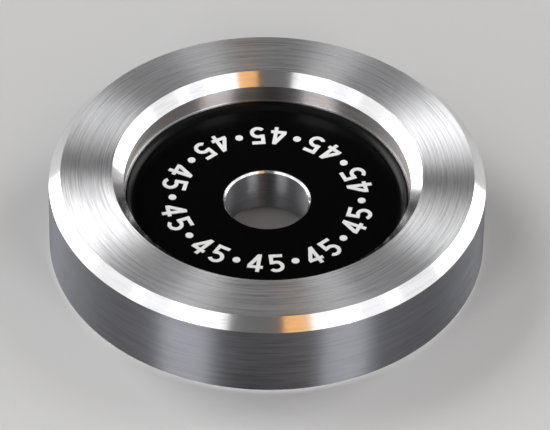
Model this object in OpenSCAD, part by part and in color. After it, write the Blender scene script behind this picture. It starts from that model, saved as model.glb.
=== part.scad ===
// Record spindle adapter: a turned ring that fills a record's large centre hole and slips over a thin spindle.
// The origin is the middle of the base, with +Z up along the bore.

/* [Body] */
// Diameter of the outer wall, a slip fit in a record's large centre hole
outer_d = 38; // [34:0.1:60]
// Height from the base to the top land
body_h = 8; // [5.5:0.1:16]
// Chamfer around the top of the outer wall
top_chamfer = 1; // [0.2:0.05:2.5]
// Chamfer around the foot of the outer wall
foot_chamfer = 0.3; // [0.1:0.05:1.5]

/* [Recess] */
// Diameter of the recess between its walls
recess_d = 25; // [22:0.1:31]
// Depth of the recess below the top land
recess_depth = 3.1; // [2.4:0.1:4.5]
// Chamfer around the mouth of the recess
mouth_chamfer = 1; // [0.2:0.05:1.2]
// Radius of the fillet around the recess floor
floor_fillet = 1.1; // [0.6:0.05:1.3]
// Height over the recess floor at which the wall's finishing cut ends, and leaves a narrow ledge
ledge_rise = 0.5; // [0.2:0.05:0.55]
// Radius that the finishing cut leaves between the ledge and the wall
ledge_fillet = 0.15; // [0.05:0.01:0.3]

/* [Bore] */
// Diameter of the bore that slips over the spindle
bore_d = 7.25; // [5:0.05:10]
// Chamfer that breaks the upper edge of the bore
bore_edge = 0.15; // [0.1:0.05:0.6]
// Lead-in chamfer at the lower end of the bore
bore_lead_in = 0.8; // [0.2:0.05:2]

/* [Black face] */
// Thickness of the black layer on the recess floor
face_t = 0.1; // [0.05:0.01:0.18]
// Bare metal left between the black layer and the chamfer of the bore
face_gap = 0.05; // [0.02:0.01:0.3]

/* [Numerals] */
// Distance from the recess wall to the feet of the numerals
print_margin = 3.15; // [1.4:0.05:4]
// Thickness of the white ink
ink_t = 0.05; // [0.02:0.01:0.1]
// Height of a numeral
digit_h = 2.2; // [1.8:0.05:2.8]
// Width of a numeral
digit_w = 1.36; // [1.1:0.02:1.5]
// Width of a pen stroke
stroke = 0.34; // [0.2:0.01:0.4]
// Space between the two numerals of a pair
digit_gap = 0.42; // [0.3:0.01:0.6]
// Diameter of the dot between two pairs
dot_d = 0.68; // [0.3:0.02:0.9]
// Shortest arc that a pair and its dot take up, which sets how many pairs go round
pair_pitch = 5; // [4.8:0.1:12]

/* [Hidden] */
// Segments in a full turn
$fn = 180;
// Overlap that keeps joined and cut shapes from sharing a face
eps = 0.01;

outer_r = outer_d / 2;
recess_r = recess_d / 2;
bore_r = bore_d / 2;
floor_z = body_h - recess_depth;

// Height and width of the ledge, and the fillet that its width leaves room for
ledge_z = floor_z + ledge_rise;
ledge_w = floor_fillet - sqrt(pow(floor_fillet, 2) - pow(floor_fillet - ledge_rise, 2));
ledge_r = min(ledge_fillet, ledge_w);

// Middle of the floor fillet's arc
fillet_x = recess_r - floor_fillet;
fillet_z = floor_z + floor_fillet;

// Inner rim of the black layer and the height of its flat upper side
face_inner_r = bore_r + bore_edge + face_gap;
face_z = floor_z + face_t;

// The numerals stand on a circle round the bore, with their tops towards it
feet_r = recess_r - print_margin;
print_r = feet_r - digit_h / 2;
pair_count = floor(2 * PI * print_r / pair_pitch);
pair_angle = 360 / pair_count;
first_pair_angle = -90;
digit_turn = (digit_w + digit_gap) / 2 / print_r * 180 / PI;

// Numeral 4: height of its crossbar and place of its stem, as shares of its height and width
four_bar_share = 0.2;
four_stem_share = 0.56;
four_bar_top = digit_h * four_bar_share + stroke;
four_stem_x = digit_w * four_stem_share;
four_slope = (digit_h - four_bar_top) / four_stem_x;
four_slant_h = stroke * sqrt(1 + four_slope * four_slope);

// Numeral 5: radius of its bowl as a share of its height, and the angles where the bowl's gap starts and ends
five_bowl_share = 0.32;
five_join = 122;
five_tail = 218;
five_bowl_r = digit_h * five_bowl_share;
five_stem_x = digit_w - five_bowl_r + five_bowl_r * cos(five_join) - stroke / 2;
five_stem_foot = five_bowl_r + (five_bowl_r - stroke) * sin(five_join);

module body_section() {
    polygon([
        [bore_r + bore_lead_in, 0],
        [outer_r - foot_chamfer, 0],
        [outer_r, foot_chamfer],
        [outer_r, body_h - top_chamfer],
        [outer_r - top_chamfer, body_h],
        [recess_r + mouth_chamfer, body_h],
        [recess_r, body_h - mouth_chamfer],
        [recess_r, floor_z],
        [bore_r + bore_edge, floor_z],
        [bore_r, floor_z - bore_edge],
        [bore_r, bore_lead_in]
    ]);
}

// A fillet of radius r between the recess wall and a level at z, up to a height h over it
module wall_fillet(z, r, h) {
    difference() {
        translate([recess_r - r, z - eps])
        square([r + eps, h + eps]);
        translate([recess_r - r, z + r])
        circle(r = r);
    }
}

module fillet_sections() {
    wall_fillet(floor_z, floor_fillet, ledge_rise);
    wall_fillet(ledge_z, ledge_r, ledge_r);
}

// The black layer is what the metal and the open recess leave of a band between floor and ledge
module face_section() {
    difference() {
        translate([face_inner_r, floor_z - eps])
        square([recess_r - face_inner_r + eps, ledge_rise + eps]);
        body_section();
        fillet_sections();
        translate([0, face_z])
        square([fillet_x, ledge_rise]);
        translate([fillet_x, fillet_z])
        circle(r = floor_fillet - face_t);
    }
}

module adapter_body() {
    color("silver")
    rotate_extrude() {
        body_section();
        fillet_sections();
    }
}

module black_face() {
    color([0.03, 0.03, 0.035])
    rotate_extrude()
    face_section();
}

// Outline of a 4 with its lower left corner at the origin
module four() {
    translate([four_stem_x, 0])
    square([stroke, digit_h]);
    translate([0, four_bar_top - stroke])
    square([digit_w, stroke]);
    polygon([
        [0, four_bar_top - eps],
        [0, four_bar_top],
        [four_stem_x, digit_h],
        [four_stem_x + eps, digit_h],
        [four_stem_x + eps, digit_h - four_slant_h],
        [four_slant_h / four_slope, four_bar_top - eps]
    ]);
}

// Outline of a 5 with its lower left corner at the origin
module five() {
    translate([five_stem_x, five_stem_foot])
    square([stroke, digit_h - five_stem_foot]);
    translate([five_stem_x, digit_h - stroke])
    square([digit_w - five_stem_x - stroke / 4, stroke]);
    translate([digit_w - five_bowl_r, five_bowl_r])
    difference() {
        circle(r = five_bowl_r);
        circle(r = five_bowl_r - stroke);
        polygon(concat(
            [[0, 0]],
            [for (a = [five_join, (five_join + five_tail) / 2, five_tail]) 2 * five_bowl_r * [cos(a), sin(a)]]
        ));
    }
}

// Stands an outline on the circle of numerals, at an angle counted from +X
module on_circle(angle) {
    rotate([0, 0, angle + 90])
    translate([0, -feet_r, face_z])
    linear_extrude(ink_t)
    children();
}

module numeral_print() {
    color([0.92, 0.92, 0.92])
    for (i = [0 : pair_count - 1]) {
        pair_middle = first_pair_angle + i * pair_angle;
        on_circle(pair_middle - digit_turn)
        translate([-digit_w / 2, 0])
        four();
        on_circle(pair_middle + digit_turn)
        translate([-digit_w / 2, 0])
        five();
        on_circle(pair_middle + pair_angle / 2)
        translate([0, digit_h / 2])
        circle(d = dot_d);
    }
}

adapter_body();
black_face();
numeral_print();
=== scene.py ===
import math

import bmesh
import bpy
from mathutils import Matrix, Vector


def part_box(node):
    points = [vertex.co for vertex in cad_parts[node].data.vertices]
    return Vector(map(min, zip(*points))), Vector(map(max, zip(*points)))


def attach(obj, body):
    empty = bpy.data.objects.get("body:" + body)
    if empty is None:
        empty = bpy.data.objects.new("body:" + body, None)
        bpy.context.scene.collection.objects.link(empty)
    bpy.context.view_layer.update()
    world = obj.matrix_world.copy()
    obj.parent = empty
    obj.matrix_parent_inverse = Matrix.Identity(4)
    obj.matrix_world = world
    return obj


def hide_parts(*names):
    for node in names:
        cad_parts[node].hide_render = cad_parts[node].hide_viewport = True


bl_info = {
    "name": "Record Spindle Adapter",
    "version": (1, 0, 0),
    "blender": (4, 5, 0),
    "location": "View3D > Sidebar > Adapter",
    "description": "Turned aluminium record adapter with a printed black face, in a plain studio",
    "category": "Object",
}

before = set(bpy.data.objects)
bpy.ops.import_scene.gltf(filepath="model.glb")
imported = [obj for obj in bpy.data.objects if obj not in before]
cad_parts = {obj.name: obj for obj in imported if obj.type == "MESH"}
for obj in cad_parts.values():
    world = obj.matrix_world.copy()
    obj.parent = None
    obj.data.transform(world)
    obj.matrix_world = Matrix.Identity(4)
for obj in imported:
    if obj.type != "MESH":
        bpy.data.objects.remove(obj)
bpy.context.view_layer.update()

MM = 0.001
BODY_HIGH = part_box("adapter_body")[1]
FACE_LOW, FACE_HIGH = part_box("black_face")
# Share of the room that a full bevel takes, just short of meeting the next edge
BEVEL_SHARE = 0.999
# Finishes of the body, in the order of its materials
LAND, BRIGHT, WALL, RECESS, BORE, BASE, LEDGE = range(7)
# Least upright share of the normal on a flat face, and on a chamfer
FLAT_FACE = 0.95
CHAMFER_FACE = 0.3
# Painted highlight on the ledge: full left of the first place and gone right of the second
LEDGE_HIGHLIGHT_FULL_X, LEDGE_HIGHLIGHT_GONE_X = -6 * MM, -3 * MM
# Roughness of the darkest and of the lightest turned lines, as shares of the finish's own
DARK_ROUGHNESS, LIGHT_ROUGHNESS = 1.15, 0.85
# Part of a turn that takes the shader's long direction from along the grooves to across them
ACROSS_GROOVES = 0.25
# Sockets of a Mix node that take and give colours
MIX_A, MIX_B, MIX_RESULT = 6, 7, 2
# Gap that keeps the floor from sharing a plane with the base
FLOOR_GAP = 0.02 * MM
FLOOR_RADIUS = 6.0


class AdapterSizes(bpy.types.PropertyGroup):
    """Sizes of the turned ring and its black face."""

    outer_radius: bpy.props.FloatProperty(
        name="Outer radius", description="Radius of the wall that a record's hole fits",
        default=BODY_HIGH.x, unit="LENGTH", subtype="DISTANCE")
    height: bpy.props.FloatProperty(
        name="Height", description="Height of the top land over the base",
        default=BODY_HIGH.z, unit="LENGTH", subtype="DISTANCE")
    top_chamfer: bpy.props.FloatProperty(
        name="Top chamfer", description="Width of the chamfer round the top of the outer wall",
        default=1.0 * MM, unit="LENGTH", subtype="DISTANCE")
    foot_chamfer: bpy.props.FloatProperty(
        name="Foot chamfer", description="Width of the chamfer round the foot of the outer wall",
        default=0.3 * MM, unit="LENGTH", subtype="DISTANCE")
    recess_radius: bpy.props.FloatProperty(
        name="Recess radius", description="Radius of the recess wall",
        default=12.5 * MM, unit="LENGTH", subtype="DISTANCE")
    mouth_chamfer: bpy.props.FloatProperty(
        name="Mouth chamfer", description="Width of the chamfer round the mouth of the recess",
        default=1.0 * MM, unit="LENGTH", subtype="DISTANCE")
    floor_fillet: bpy.props.FloatProperty(
        name="Floor fillet", description="Radius of the fillet round the recess floor",
        default=1.1 * MM, unit="LENGTH", subtype="DISTANCE")
    ledge_fillet: bpy.props.FloatProperty(
        name="Ledge fillet", description="Radius between the narrow ledge and the recess wall",
        default=0.05 * MM, unit="LENGTH", subtype="DISTANCE")
    face_thickness: bpy.props.FloatProperty(
        name="Face thickness", description="Thickness of the black layer",
        default=0.1 * MM, unit="LENGTH", subtype="DISTANCE")
    face_gap: bpy.props.FloatProperty(
        name="Face gap",
        description="Bare metal between the black layer and the chamfer of the bore",
        default=0.05 * MM, unit="LENGTH", subtype="DISTANCE")
    bore_radius: bpy.props.FloatProperty(
        name="Bore radius", description="Radius of the bore that slips over the spindle",
        default=3.625 * MM, unit="LENGTH", subtype="DISTANCE")
    bore_edge: bpy.props.FloatProperty(
        name="Bore edge", description="Chamfer that breaks the upper edge of the bore",
        default=0.15 * MM, unit="LENGTH", subtype="DISTANCE")
    bore_lead_in: bpy.props.FloatProperty(
        name="Bore lead-in", description="Chamfer at the lower end of the bore",
        default=0.8 * MM, unit="LENGTH", subtype="DISTANCE")
    edge_break: bpy.props.FloatProperty(
        name="Edge break", description="Width of the tiny round on the turned edges",
        default=0.035 * MM, unit="LENGTH", subtype="DISTANCE")
    steps: bpy.props.IntProperty(
        name="Steps", description="Faces in a full turn", default=384, min=64, max=720)


class AdapterColours(bpy.types.PropertyGroup):
    """Base colours of the finishes; the outer wall, recess wall, bore and ledge carry painted
    shade, and the ledge a painted highlight.
    """

    land: bpy.props.FloatVectorProperty(
        name="Land", description="Colour of the turned top land",
        default=(0.80, 0.80, 0.84), subtype="COLOR", min=0, max=1)
    # Painted shade: the outer wall is the land's aluminium, painted far darker to stand in for the
    # dark reflections it shows
    wall: bpy.props.FloatVectorProperty(
        name="Wall", description="Colour of the outer wall",
        default=(0.165, 0.167, 0.183), subtype="COLOR", min=0, max=1)
    # Painted shade: the recess wall is the land's aluminium, painted at half its brightness for the
    # shade inside the recess
    recess: bpy.props.FloatVectorProperty(
        name="Recess wall", description="Colour of the recess wall",
        default=(0.41, 0.385, 0.375), subtype="COLOR", min=0, max=1)
    # Painted shade: the bare ledge is dimmed far below the land's metal
    ledge: bpy.props.FloatVectorProperty(
        name="Ledge", description="Colour of the dim part of the ledge over the black layer",
        default=(0.22, 0.22, 0.22), subtype="COLOR", min=0, max=1)
    # Painted highlight: the left part of the ledge is painted lighter, as if a lamp caught it there
    ledge_painted_highlight: bpy.props.FloatVectorProperty(
        name="Bright ledge",
        description="Colour of the ledge on the left, where its cut is brighter",
        default=(0.42, 0.42, 0.42), subtype="COLOR", min=0, max=1)
    # Painted shade: the bore is the land's aluminium, painted darker for the shade inside the hole
    bore: bpy.props.FloatVectorProperty(
        name="Bore wall", description="Colour of the bore wall",
        default=(0.30, 0.30, 0.315), subtype="COLOR", min=0, max=1)
    bright: bpy.props.FloatVectorProperty(
        name="Bright cut", description="Colour of the bright chamfers",
        default=(0.80, 0.80, 0.81), subtype="COLOR", min=0, max=1)
    black: bpy.props.FloatVectorProperty(
        name="Black face", description="Colour of the black face",
        default=(0.0015, 0.0015, 0.0016), subtype="COLOR", min=0, max=1)
    ink: bpy.props.FloatVectorProperty(
        name="Ink", description="Colour of the printed numerals",
        default=(0.82, 0.82, 0.82), subtype="COLOR", min=0, max=1)
    floor: bpy.props.FloatVectorProperty(
        name="Floor", description="Colour of the studio floor",
        default=(0.55, 0.55, 0.55), subtype="COLOR", min=0, max=1)
    card: bpy.props.FloatVectorProperty(
        name="Warm card", description="Colour of the small warm card by the camera",
        default=(1.0, 0.48, 0.13), subtype="COLOR", min=0, max=1)


class AdapterCamera(bpy.types.PropertyGroup):
    """Place of the camera round the adapter."""

    aim: bpy.props.FloatVectorProperty(
        name="Aim", description="Point in the middle of the picture",
        default=(0.718 * MM, -0.946 * MM, 4.0 * MM), unit="LENGTH", subtype="XYZ")
    elevation: bpy.props.FloatProperty(
        name="Elevation", description="Angle of the camera over the floor",
        default=math.radians(42.714), subtype="ANGLE")
    azimuth: bpy.props.FloatProperty(
        name="Azimuth", description="Angle of the camera round the bore, from the front",
        default=math.radians(-0.097), subtype="ANGLE")
    roll: bpy.props.FloatProperty(
        name="Roll", description="Turn of the camera about its own view",
        default=math.radians(1.067), subtype="ANGLE")
    distance: bpy.props.FloatProperty(
        name="Distance", description="Distance from the aim point",
        default=0.5787, unit="LENGTH", subtype="DISTANCE")
    lens: bpy.props.FloatProperty(
        name="Lens", description="Focal length for a sensor 36 mm wide",
        default=434.6, unit="CAMERA")


def settings(name):
    """The scene's settings of that name."""
    return getattr(bpy.context.scene, name)


def new_object(name, bm):
    """Puts a bmesh into a new object at the origin."""
    mesh = bpy.data.meshes.new(name)
    bm.to_mesh(mesh)
    bm.free()
    obj = bpy.data.objects.new(name, mesh)
    bpy.context.scene.collection.objects.link(obj)
    return obj


def spin_section(points, steps):
    """Spins a closed section of (radius, height) points round the Z axis."""
    bm = bmesh.new()
    verts = [bm.verts.new((radius, 0.0, height)) for radius, height in points]
    edges = [bm.edges.new((a, b)) for a, b in zip(verts, verts[1:] + verts[:1])]
    bmesh.ops.spin(
        bm, geom=verts + edges, cent=(0, 0, 0), axis=(0, 0, 1), angle=math.tau, steps=steps,
        use_merge=True)
    bmesh.ops.recalc_face_normals(bm, faces=bm.faces)
    return bm


def edges_at(bm, radius, height, tolerance=1e-6):
    """The edges that run round the Z axis at one radius and height."""
    def fits(vert):
        off = max(abs(vert.co.xy.length - radius), abs(vert.co.z - height))
        return off < tolerance
    return [e for e in bm.edges if all(fits(v) for v in e.verts)]


def round_edges(bm, edges, offset, segments):
    """Bevels edges and returns the new faces."""
    result = bmesh.ops.bevel(
        bm, geom=edges, offset=offset, offset_type="OFFSET", segments=segments, profile=0.5,
        affect="EDGES", material=-1, clamp_overlap=True)
    return result["faces"]


def smooth_turned(bm, rounded):
    """Shades a turned piece smooth round the axis, and keeps its corners sharp."""
    flat_limit = math.radians(3)
    for face in bm.faces:
        face.smooth = True
    for edge in bm.edges:
        both_round = all(f in rounded for f in edge.link_faces)
        edge.smooth = both_round or edge.calc_face_angle(0) < flat_limit


def basin_corner(size, radius):
    """The corner that a bevel turns into the arc from floor to ledge, and the bevel's reach."""
    middle_x = size.recess_radius - size.floor_fillet
    middle_z = FACE_LOW.z + size.floor_fillet
    turn = math.acos((middle_z - FACE_HIGH.z) / radius)
    reach = radius * math.tan(turn / 2)
    return (middle_x + reach, middle_z - radius), reach


class Shader:
    """A short way to add nodes to a material or a node group."""

    def __init__(self, tree):
        self.tree = tree

    def add(self, kind, values=(), **props):
        """A new node with its properties, and with a value or a link for each socket named."""
        node = self.tree.nodes.new(kind)
        for key, value in props.items():
            setattr(node, key, value)
        for key, value in dict(values).items():
            self.put(node.inputs[key], value)
        return node

    def put(self, socket, value):
        """Links an output to a socket, or sets the socket's own value."""
        if isinstance(value, bpy.types.NodeSocket):
            self.tree.links.new(value, socket)
        else:
            socket.default_value = value

    def math(self, operation, a, b=0.0):
        return self.add("ShaderNodeMath", {0: a, 1: b}, operation=operation).outputs[0]

    def ramp(self, value, low, high, to_low=0.0, to_high=1.0):
        """Maps low to high onto another range, and holds the value at its ends."""
        node = self.add("ShaderNodeMapRange", {
            "Value": value, "From Min": low, "From Max": high, "To Min": to_low, "To Max": to_high})
        return node.outputs["Result"]

    def mix(self, factor, a, b):
        """Goes from one colour to another as the factor goes from 0 to 1."""
        node = self.add("ShaderNodeMix", data_type="RGBA")
        self.put(node.inputs["Factor"], factor)
        self.put(node.inputs[MIX_A], a)
        self.put(node.inputs[MIX_B], b)
        return node.outputs[MIX_RESULT]


def new_group(name, inputs, outputs):
    """A shader node group with float or vector sockets, and its helper."""
    tree = bpy.data.node_groups.new(name, "ShaderNodeTree")
    for label, kind, default in inputs:
        socket = tree.interface.new_socket(label, in_out="INPUT", socket_type=kind)
        if default is not None:
            socket.default_value = default
    for label, kind in outputs:
        tree.interface.new_socket(label, in_out="OUTPUT", socket_type=kind)
    shader = Shader(tree)
    return tree, shader, shader.add("NodeGroupInput"), shader.add("NodeGroupOutput")


def turning_lines_group():
    """Fine grooves left by the turning tool, as a height and a tone that vary across them."""
    tree, s, given, result = new_group(
        "Turning Lines",
        [("Vector", "NodeSocketVector", None), ("Along Axis", "NodeSocketFloat", 0.0),
         ("Lines Per mm", "NodeSocketFloat", 10.0), ("Arc Breaks", "NodeSocketFloat", 1.5)],
        [("Height", "NodeSocketFloat"), ("Tone", "NodeSocketFloat")])
    part = s.add("ShaderNodeSeparateXYZ", {"Vector": given.outputs["Vector"]})
    x, y, z = part.outputs
    flat = s.add("ShaderNodeCombineXYZ", {"X": x, "Y": y})
    length = s.add("ShaderNodeVectorMath", {0: flat.outputs[0]}, operation="LENGTH")
    turn = s.add("ShaderNodeVectorMath", {0: flat.outputs[0]}, operation="NORMALIZE")
    turn_part = s.add("ShaderNodeSeparateXYZ", {"Vector": turn.outputs["Vector"]})
    across = s.add("ShaderNodeMix", {
        "Factor": given.outputs["Along Axis"], "A": length.outputs["Value"], "B": z}).outputs[0]
    across_mm = s.math("MULTIPLY", across, 1 / MM)

    def grooves(share, arc_share, detail):
        """Noise drawn out round the axis, with a share of the lines and of the breaks."""
        lines = s.math("MULTIPLY", across_mm, given.outputs["Lines Per mm"])
        lines = s.math("MULTIPLY", lines, share)
        arc = s.math("MULTIPLY", given.outputs["Arc Breaks"], arc_share)
        place = s.add("ShaderNodeCombineXYZ", {
            "X": lines, "Y": s.math("MULTIPLY", turn_part.outputs[0], arc),
            "Z": s.math("MULTIPLY", turn_part.outputs[1], arc)})
        return s.add("ShaderNodeTexNoise", {
            "Vector": place.outputs[0], "Scale": 1.0, "Detail": detail, "Roughness": 0.6,
        }).outputs["Fac"]

    fine = grooves(share=1.0, arc_share=1.0, detail=2.0)
    broad = grooves(share=0.35, arc_share=1.3, detail=3.0)
    fine_part = s.math("MULTIPLY", fine, 0.55)
    broad_part = s.math("MULTIPLY", broad, 0.45)
    height = s.math("ADD", fine_part, broad_part)
    s.put(result.inputs["Height"], height)
    s.put(result.inputs["Tone"], s.ramp(height, low=0.4, high=0.6))
    return tree


def specks_group():
    """Sparse dust specks, as a mask."""
    tree, s, given, result = new_group(
        "Specks",
        [("Vector", "NodeSocketVector", None), ("Specks Per mm", "NodeSocketFloat", 0.8),
         ("Speck Size", "NodeSocketFloat", 0.06), ("Share", "NodeSocketFloat", 0.05)],
        [("Mask", "NodeSocketFloat")])
    place = s.add("ShaderNodeVectorMath", {0: given.outputs["Vector"]}, operation="SCALE")
    s.put(place.inputs["Scale"], s.math("MULTIPLY", given.outputs["Specks Per mm"], 1 / MM))
    cells = s.add("ShaderNodeTexVoronoi", {"Vector": place.outputs[0], "Scale": 1.0}, feature="F1")
    lot = s.add("ShaderNodeSeparateColor", {"Color": cells.outputs["Color"]})
    chosen = s.math("LESS_THAN", lot.outputs[0], given.outputs["Share"])
    share_of_size = s.ramp(lot.outputs[1], 0.0, 1.0, to_low=0.5, to_high=1.5)
    size = s.math("MULTIPLY", given.outputs["Speck Size"], share_of_size)
    round_spot = s.math("LESS_THAN", cells.outputs["Distance"], size)
    s.put(result.inputs["Mask"], s.math("MULTIPLY", chosen, round_spot))
    return tree


def group(name, maker):
    """The shared node group of that name, built once."""
    return bpy.data.node_groups.get(name) or maker()


def opaque(colour, share=1.0):
    """A colour times a share, as a colour socket takes it."""
    return tuple(min(1.0, c * share) for c in colour) + (1.0,)


def new_material(name):
    """A new material, with its helper, its surface shader and the piece's coordinates."""
    material = bpy.data.materials.new(name)
    material.use_nodes = True
    material.node_tree.nodes.clear()
    s = Shader(material.node_tree)
    surface = s.add("ShaderNodeBsdfPrincipled")
    output = s.add("ShaderNodeOutputMaterial")
    material.node_tree.links.new(surface.outputs["BSDF"], output.inputs["Surface"])
    place = s.add("ShaderNodeTexCoord").outputs["Object"]
    return material, s, surface, place


def turned_metal(
        name, colour, roughness, lines, depth, along_axis=0.0, anisotropy=1.0, edge=1.0,
        tone=0.12, arc=1.5):
    """Turned aluminium, whose grooves run round the axis and stretch highlights across them.

    There are about as many lines per mm as given, and the bump makes them as deep as given.
    They follow one another outwards, or up where along_axis is 1. Edge dims the metal at
    grazing views, tone is how far the lines differ in colour, and arc is how often they break.
    """
    material, s, surface, place = new_material(name)
    grooves = s.add("ShaderNodeGroup", {
        "Vector": place, "Along Axis": along_axis, "Lines Per mm": lines, "Arc Breaks": arc,
    }, node_tree=group("Turning Lines", turning_lines_group))
    light, dark = opaque(colour, 1 + tone), opaque(colour, 1 - tone)
    s.put(surface.inputs["Base Color"], s.mix(grooves.outputs["Tone"], dark, light))
    s.put(surface.inputs["Roughness"], s.ramp(
        grooves.outputs["Tone"], 0, 1, roughness * DARK_ROUGHNESS, roughness * LIGHT_ROUGHNESS))
    surface.inputs["Metallic"].default_value = 1.0
    surface.inputs["Specular Tint"].default_value = (edge, edge, edge, 1.0)
    surface.inputs["Anisotropic"].default_value = anisotropy
    surface.inputs["Anisotropic Rotation"].default_value = ACROSS_GROOVES
    tangent = s.add("ShaderNodeTangent", direction_type="RADIAL", axis="Z")
    s.put(surface.inputs["Tangent"], tangent.outputs["Tangent"])
    bump = s.add("ShaderNodeBump", {
        "Strength": 1.0, "Distance": depth, "Height": grooves.outputs["Height"]})
    s.put(surface.inputs["Normal"], bump.outputs["Normal"])
    return material


def ledge_painted_light(dim, bright):
    """The narrow ledge, dimmed with painted shade and lighter on the left with a painted highlight.
    """
    material, s, surface, place = new_material("Ledge")
    x = s.add("ShaderNodeSeparateXYZ", {"Vector": place}).outputs[0]
    # Painted highlight: share of the lighter colour, full on the left of the ledge and none on the
    # right
    left = s.ramp(x, LEDGE_HIGHLIGHT_FULL_X, LEDGE_HIGHLIGHT_GONE_X, 1.0, 0.0)
    s.put(surface.inputs["Base Color"], s.mix(left, opaque(dim), opaque(bright)))
    surface.inputs["Metallic"].default_value = 1.0
    surface.inputs["Roughness"].default_value = 0.22
    return material


def black_finish(colour):
    """Satin black with a soft shine and a little dust."""
    material, s, surface, place = new_material("Satin Black")
    specks = s.add("ShaderNodeGroup", node_tree=group("Specks", specks_group))
    s.put(specks.inputs["Vector"], place)
    dust = (0.25, 0.25, 0.25, 1.0)
    s.put(surface.inputs["Base Color"], s.mix(specks.outputs["Mask"], opaque(colour), dust))
    grain = s.add("ShaderNodeTexNoise", {"Vector": place, "Scale": 9 / MM, "Detail": 2.0})
    s.put(surface.inputs["Roughness"], s.ramp(grain.outputs["Fac"], 0.3, 0.7, 0.20, 0.26))
    bump = s.add("ShaderNodeBump", {
        "Strength": 0.15, "Distance": 0.004 * MM, "Height": grain.outputs["Fac"]})
    s.put(surface.inputs["Normal"], bump.outputs["Normal"])
    surface.inputs["IOR"].default_value = 1.25
    surface.inputs["Specular IOR Level"].default_value = 0.3
    return material


def ink_finish(colour):
    """Flat white printing ink, very slightly uneven."""
    material, s, surface, place = new_material("White Ink")
    grain = s.add("ShaderNodeTexNoise", {"Vector": place, "Scale": 6 / MM, "Detail": 3.0})
    cover = s.ramp(grain.outputs["Fac"], 0.35, 0.65)
    s.put(surface.inputs["Base Color"], s.mix(cover, opaque(colour, 0.9), opaque(colour)))
    s.put(surface.inputs["Roughness"], s.ramp(grain.outputs["Fac"], 0.3, 0.7, 0.45, 0.6))
    bump = s.add("ShaderNodeBump", {
        "Strength": 0.2, "Distance": 0.01 * MM, "Height": grain.outputs["Fac"]})
    s.put(surface.inputs["Normal"], bump.outputs["Normal"])
    return material


class ADAPTER_OT_camera(bpy.types.Operator):
    """Place the camera at the picture's viewing angle"""

    bl_idname = "adapter.camera"
    bl_label = "Camera"

    def execute(self, context):
        view = settings("adapter_camera")
        level = math.cos(view.elevation)
        back = Vector((
            level * math.sin(view.azimuth),
            -level * math.cos(view.azimuth),
            math.sin(view.elevation)))
        right = Vector((0, 0, 1)).cross(back).normalized()
        turn = Matrix.Rotation(view.roll, 3, back)
        right = turn @ right
        up = back.cross(right)
        data = bpy.data.cameras.new("Camera")
        data.sensor_width = 36.0
        data.lens = view.lens
        data.clip_start = 0.01
        data.clip_end = 20.0
        camera = bpy.data.objects.new("Camera", data)
        context.scene.collection.objects.link(camera)
        axes = Matrix((right, up, back)).transposed().to_4x4()
        camera.matrix_world = Matrix.Translation(Vector(view.aim) + back * view.distance) @ axes
        context.scene.camera = camera
        return {"FINISHED"}


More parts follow.
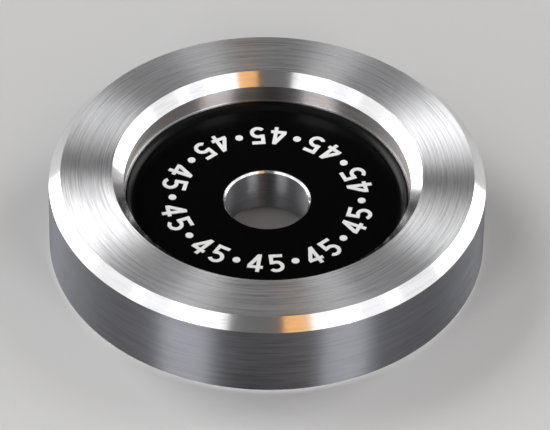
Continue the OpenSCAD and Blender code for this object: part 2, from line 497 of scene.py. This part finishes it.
class ADAPTER_OT_body(bpy.types.Operator):
    """Turn the aluminium ring from its section"""

    bl_idname = "adapter.body"
    bl_label = "Adapter Body"

    def section(self, size):
        """The ring's section as (radius, height) points, from its lower inner corner outwards."""
        outer, inner, bore = size.outer_radius, size.recess_radius, size.bore_radius
        top, floor_z = size.height, FACE_LOW.z
        return [
            (bore + size.bore_lead_in, 0),
            (outer - size.foot_chamfer, 0),
            (outer, size.foot_chamfer),
            (outer, top - size.top_chamfer),
            (outer - size.top_chamfer, top),
            (inner + size.mouth_chamfer, top),
            (inner, top - size.mouth_chamfer),
            (inner, FACE_HIGH.z),
            (FACE_HIGH.x, FACE_HIGH.z),
            basin_corner(size, size.floor_fillet)[0],
            (bore + size.bore_edge, floor_z),
            (bore, floor_z - size.bore_edge),
            (bore, size.bore_lead_in),
        ]

    def finish_index(self, face, size):
        """Which finish a face has, from the way it faces and where it lies."""
        middle = face.calc_center_median()
        normal = face.normal
        radius = middle.xy.length
        outward = normal.xy.dot(middle.xy) / radius
        fillet_foot = size.recess_radius - size.floor_fillet
        over_fillet = fillet_foot < radius < size.recess_radius
        if over_fillet and middle.z < FACE_HIGH.z + size.ledge_fillet:
            return LEDGE
        if abs(normal.z) > FLAT_FACE:
            return LAND if middle.z > size.height / 2 else BASE
        if abs(normal.z) > CHAMFER_FACE:
            return BRIGHT
        if outward > 0:
            return WALL
        return RECESS if radius > fillet_foot else BORE

    def execute(self, context):
        size = settings("adapter_sizes")
        colour = settings("adapter_colours")
        points = self.section(size)
        bm = spin_section(points, size.steps)
        foot = (size.recess_radius, FACE_HIGH.z)
        basin, reach = basin_corner(size, size.floor_fillet)
        corners = [e for p in points if p not in (foot, basin) for e in edges_at(bm, *p)]
        rounded = set(round_edges(bm, edges_at(bm, *foot), size.ledge_fillet, segments=6))
        rounded |= set(round_edges(bm, edges_at(bm, *basin), reach * BEVEL_SHARE, segments=12))
        corners = [e for e in corners if e.is_valid]
        rounded |= set(round_edges(bm, corners, size.edge_break, segments=2))
        rounded = {f for f in rounded if f.is_valid}
        bm.normal_update()
        for face in bm.faces:
            face.material_index = self.finish_index(face, size)
        smooth_turned(bm, rounded)
        body = new_object("turned_ring", bm)
        for material in (
            turned_metal(
                "Turned Land", colour.land, roughness=0.36, lines=14, depth=0.0004 * MM,
                tone=0.42, arc=2.6),
            turned_metal(
                "Bright Chamfer", colour.bright, roughness=0.13, lines=9, depth=0.0008 * MM,
                anisotropy=0.3, tone=0.06, arc=5),
            # Painted shade: the wall's dark base colour stands in for the dark reflections of the
            # turned metal
            turned_metal(
                "Turned Wall", colour.wall, roughness=0.40, lines=9, depth=0.0001 * MM,
                along_axis=1.0, edge=0.35, tone=0.15, arc=3),
            # Painted shade: darker base colour for the shade inside the recess
            turned_metal(
                "Recess Wall", colour.recess, roughness=0.34, lines=8, depth=0.0004 * MM,
                along_axis=1.0, edge=0.6),
            # Painted shade: darker base colour for the shade inside the bore
            turned_metal(
                "Bore Wall", colour.bore, roughness=0.34, lines=8, depth=0.0004 * MM,
                along_axis=1.0, edge=0.5),
            turned_metal(
                "Faced Base", colour.land, roughness=0.38, lines=7, depth=0.0008 * MM,
                anisotropy=0.97),
            # Painted shade and painted highlight on the ledge
            ledge_painted_light(colour.ledge, colour.ledge_painted_highlight),
        ):
            body.data.materials.append(material)
        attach(body, "root")
        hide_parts("adapter_body")
        return {"FINISHED"}


class ADAPTER_OT_black_face(bpy.types.Operator):
    """Lay the black face on the recess floor and the lower part of its fillet"""

    bl_idname = "adapter.black_face"
    bl_label = "Black Face"

    def execute(self, context):
        size = settings("adapter_sizes")
        inner = size.bore_radius + size.bore_edge + size.face_gap
        top_radius = size.floor_fillet - size.face_thickness
        under, under_reach = basin_corner(size, size.floor_fillet)
        over, over_reach = basin_corner(size, top_radius)
        rim_x = size.recess_radius - size.floor_fillet + math.sqrt(
            top_radius ** 2 - (FACE_LOW.z + size.floor_fillet - FACE_HIGH.z) ** 2)
        inner_rim = (inner, over[1])
        points = [
            (inner, FACE_LOW.z), under, (FACE_HIGH.x, FACE_HIGH.z),
            (rim_x, FACE_HIGH.z), over, inner_rim]
        bm = spin_section(points, size.steps)
        under_edges, over_edges, rim = (edges_at(bm, *p) for p in (under, over, inner_rim))
        rounded = set(round_edges(bm, under_edges, under_reach * BEVEL_SHARE, segments=20))
        rounded |= set(round_edges(bm, over_edges, over_reach * BEVEL_SHARE, segments=20))
        rim = [e for e in rim if e.is_valid]
        rounded |= set(round_edges(bm, rim, size.edge_break, segments=3))
        smooth_turned(bm, {f for f in rounded if f.is_valid})
        face = new_object("satin_black_face", bm)
        face.data.materials.append(black_finish(settings("adapter_colours").black))
        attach(face, "root")
        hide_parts("black_face")
        return {"FINISHED"}


class ADAPTER_OT_print(bpy.types.Operator):
    """Give the printed numerals their ink"""

    bl_idname = "adapter.print"
    bl_label = "Numerals"

    def execute(self, context):
        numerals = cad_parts["numeral_print"]
        numerals.data.materials.clear()
        numerals.data.materials.append(ink_finish(settings("adapter_colours").ink))
        return {"FINISHED"}


def plain_material(name, colour):
    """A matt material with a very faint mottle."""
    material, s, surface, place = new_material(name)
    mottle = s.add("ShaderNodeTexNoise", {"Vector": place, "Scale": 6.0, "Detail": 2.0})
    s.put(surface.inputs["Base Color"], s.mix(
        mottle.outputs["Fac"], opaque(colour, 0.98), opaque(colour)))
    surface.inputs["Roughness"].default_value = 0.8
    surface.inputs["Specular IOR Level"].default_value = 0.2
    return material


def glowing_material(name, colour):
    """A card that glows in its colour, paler in places."""
    material, s, surface, place = new_material(name)
    surface.inputs["Base Color"].default_value = (0, 0, 0, 1)
    patches = s.add("ShaderNodeTexNoise", {"Vector": place, "Scale": 9.0, "Detail": 3.0})
    pale = opaque([0.3 + 0.7 * c for c in colour])
    patch = s.ramp(patches.outputs["Fac"], low=0.45, high=0.75)
    s.put(surface.inputs["Emission Color"], s.mix(patch, opaque(colour), pale))
    surface.inputs["Emission Strength"].default_value = 1.0
    return material


def toward(azimuth, elevation):
    """Unit vector at an azimuth from +X and an elevation over the floor, both in degrees."""
    a, e = math.radians(azimuth), math.radians(elevation)
    return Vector((math.cos(e) * math.cos(a), math.cos(e) * math.sin(a), math.sin(e)))


# Every lamp and card stands on a dome round the adapter, beyond the camera
DOME = 1.1
# A lamp is wider than its range by this factor, so that no gap shows between neighbours
OVERLAP = 1.06
WHITE = (1.0, 1.0, 1.0)
COOL = (0.94, 0.94, 1.0)
WARM = (1.0, 0.99, 0.97)
# Softboxes: name, azimuth range and elevation range in degrees, radiance, colour
SOFTBOXES = [
    ("front_right_low", (-63, -42), (0, 22), 12.5, WHITE),
    ("front_right", (-64, -42), (22, 55), 0.95, WHITE),
    ("near_right", (-44, -20), (0, 54), 0.66, COOL),
    ("side_right", (-22, 4), (0, 50), 0.52, WHITE),
    ("back_right", (4, 24), (0, 34), 0.95, WHITE),
    ("rear_right_low", (24, 44), (0, 27), 3.0, WARM),
    ("rear_right", (20, 48), (27, 50), 5.0, WHITE),
    ("high_right", (-36, -16), (58, 72), 0.4, WHITE),
    ("front_left_low", (-138, -115), (0, 22), 12.5, WHITE),
    ("front_left", (-138, -112), (22, 55), 0.95, WHITE),
    ("near_left", (-159, -136), (0, 54), 0.66, COOL),
    ("side_left", (-184, -158), (0, 50), 0.55, WHITE),
    ("back_left_low", (-204, -184), (0, 27), 0.95, WHITE),
    ("rear_left_low", (-226, -204), (0, 27), 2.6, WARM),
    ("rear_left", (-235, -203), (27, 50), 8.0, WHITE),
    ("back_left", (-203, -184), (27, 50), 3.4, WHITE),
    ("high_left", (-164, -144), (58, 72), 2.0, WHITE),
]
# Dark cards: name, azimuth range and elevation range in degrees, grey
FLAGS = [
    ("back", (54, 124), (0, 60), 0.01),
    ("camera", (-111, -81), (4, 64), 0.13),
]
# The small warm card: name, azimuth range and elevation range in degrees
WARM_CARD = ("warm", (-80, -64.5), (30, 64))


def dome_patch(azimuths, elevations):
    """Width, height and place of a flat patch on the dome that faces the adapter."""
    middle = toward(sum(azimuths) / 2, sum(elevations) / 2)
    level = math.cos(math.radians(sum(elevations) / 2))
    width = 2 * DOME * math.tan(math.radians(azimuths[1] - azimuths[0]) / 2) * level
    height = 2 * DOME * math.tan(math.radians(elevations[1] - elevations[0]) / 2)
    turn = middle.to_track_quat("Z", "Y").to_matrix().to_4x4()
    return width, height, Matrix.Translation(middle * DOME) @ turn


def panel(name, azimuths, elevations, material):
    """A flat card on the dome, facing the adapter."""
    width, height, place = dome_patch(azimuths, elevations)
    bm = bmesh.new()
    bmesh.ops.create_grid(bm, x_segments=1, y_segments=1, size=0.5)
    bmesh.ops.scale(bm, vec=(width, height, 1), verts=bm.verts)
    bmesh.ops.transform(bm, matrix=place, verts=bm.verts)
    card = new_object(name, bm)
    card.data.materials.append(material)
    card.visible_camera = False


class ADAPTER_OT_stage(bpy.types.Operator):
    """Set up the floor, the soft lamps and the cards"""

    bl_idname = "adapter.stage"
    bl_label = "Studio"

    def floor(self, colour):
        bm = bmesh.new()
        bmesh.ops.create_circle(bm, cap_ends=True, segments=96, radius=FLOOR_RADIUS)
        bmesh.ops.translate(bm, vec=(0, 0, -FLOOR_GAP), verts=bm.verts)
        floor = new_object("floor", bm)
        floor.data.materials.append(plain_material("Pale Floor", colour))

    def softbox(self, name, azimuths, elevations, radiance, colour):
        width, height, place = dome_patch(azimuths, elevations)
        lamp = bpy.data.lights.new(name, "AREA")
        lamp.shape = "RECTANGLE"
        lamp.size = OVERLAP * width
        lamp.size_y = height
        lamp.color = colour
        lamp.energy = radiance * math.pi * lamp.size * lamp.size_y
        obj = bpy.data.objects.new(name, lamp)
        bpy.context.scene.collection.objects.link(obj)
        obj.matrix_world = place

    def world(self, seen, cast):
        """A pale surround, as strong as seen where it shows and as cast where it lights."""
        world = bpy.data.worlds.new("Studio")
        world.use_nodes = True
        s = Shader(world.node_tree)
        ray = s.add("ShaderNodeLightPath")
        looks = s.math("MAXIMUM", ray.outputs["Is Camera Ray"], ray.outputs["Is Glossy Ray"])
        looks = s.math("MAXIMUM", looks, ray.outputs["Is Transmission Ray"])
        background = world.node_tree.nodes["Background"]
        background.inputs["Color"].default_value = (1, 1, 1, 1)
        s.put(background.inputs["Strength"], s.ramp(looks, 0, 1, cast, seen))
        bpy.context.scene.world = world

    def execute(self, context):
        colour = settings("adapter_colours")
        self.world(seen=0.5, cast=0.06)
        self.floor(colour.floor)
        for name, azimuths, elevations, radiance, tint in SOFTBOXES:
            self.softbox(name, azimuths, elevations, radiance, tint)
        for name, azimuths, elevations, grey in FLAGS:
            material = plain_material("Card " + name, (grey, grey, grey))
            panel("flag_" + name, azimuths, elevations, material)
        panel(*WARM_CARD, glowing_material("Warm Card", colour.card))
        context.scene.view_settings.view_transform = "Standard"
        return {"FINISHED"}


class ADAPTER_PT_panel(bpy.types.Panel):
    """Lists the adapter's pieces and their settings"""

    bl_label = "Record Adapter"
    bl_idname = "ADAPTER_PT_panel"
    bl_space_type = "VIEW_3D"
    bl_region_type = "UI"
    bl_category = "Adapter"

    def draw(self, context):
        for operator in OPERATORS:
            self.layout.operator(operator.bl_idname)
        for name in GROUPS:
            box = self.layout.box()
            group_settings = getattr(context.scene, name)
            for key in group_settings.bl_rna.properties.keys():
                if key not in {"rna_type", "name"}:
                    box.prop(group_settings, key)


OPERATORS = (
    ADAPTER_OT_camera,
    ADAPTER_OT_body,
    ADAPTER_OT_black_face,
    ADAPTER_OT_print,
    ADAPTER_OT_stage,
)
GROUPS = {
    "adapter_sizes": AdapterSizes,
    "adapter_colours": AdapterColours,
    "adapter_camera": AdapterCamera,
}
CLASSES = (*GROUPS.values(), *OPERATORS, ADAPTER_PT_panel)


def register():
    for cls in CLASSES:
        bpy.utils.register_class(cls)
    for name, cls in GROUPS.items():
        setattr(bpy.types.Scene, name, bpy.props.PointerProperty(type=cls))


def unregister():
    for name in GROUPS:
        delattr(bpy.types.Scene, name)
    for cls in reversed(CLASSES):
        bpy.utils.unregister_class(cls)


def main():
    register()
    bpy.ops.adapter.camera()
    bpy.ops.adapter.body()
    bpy.ops.adapter.black_face()
    bpy.ops.adapter.print()
    bpy.ops.adapter.stage()


if __name__ == "__main__":
    main()
